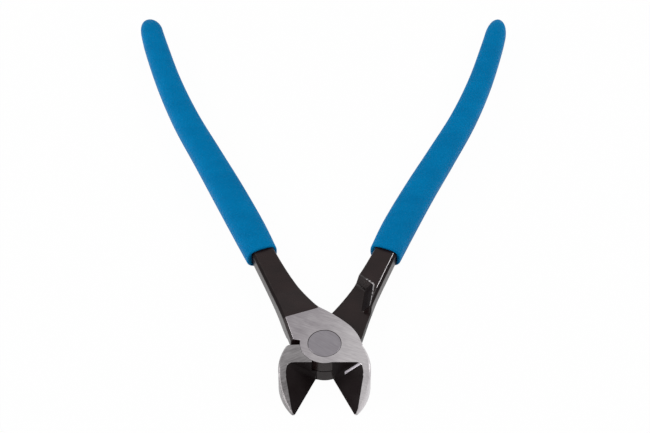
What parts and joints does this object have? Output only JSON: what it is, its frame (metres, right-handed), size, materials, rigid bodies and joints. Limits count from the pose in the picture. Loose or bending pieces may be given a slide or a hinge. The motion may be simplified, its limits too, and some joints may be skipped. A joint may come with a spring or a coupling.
{
  "type": "tile nippers",
  "caption": "Hand nippers for biting small pieces off ceramic tile: two lapped steel levers on a flush rivet, with a plastic sleeve on each handle.",
  "frame": {"origin": "on the pivot axis at the flat underside of the head, which is the face the tool lies on", "axes": "+Z along the pivot axis, up from the underside; the jaws point to -Y and the handles to +Y, with the tool part way open"},
  "size_m": [0.1694, 0.2217, 0.012],
  "materials": {
    "lever_steel": "black oxide, with the flat of the head and the jaws ground bright",
    "rivet_steel": "ground flush with the head",
    "grip_vinyl": "smooth dipped vinyl, soft gloss"
  },
  "bodies": {
    "rear_half": {"rear_lever": "lever_steel", "rivet": "rivet_steel", "rear_grip": "grip_vinyl"},
    "front_half": {"front_lever": "lever_steel", "front_grip": "grip_vinyl"}
  },
  "joints": [
    {"name": "jaw_pivot", "type": "hinge", "parent": "rear_half", "child": "front_half", "pos_m": [0, 0, 0], "axis": [0, 0, 1], "range_deg": [-39, 9.5]}
  ]
}
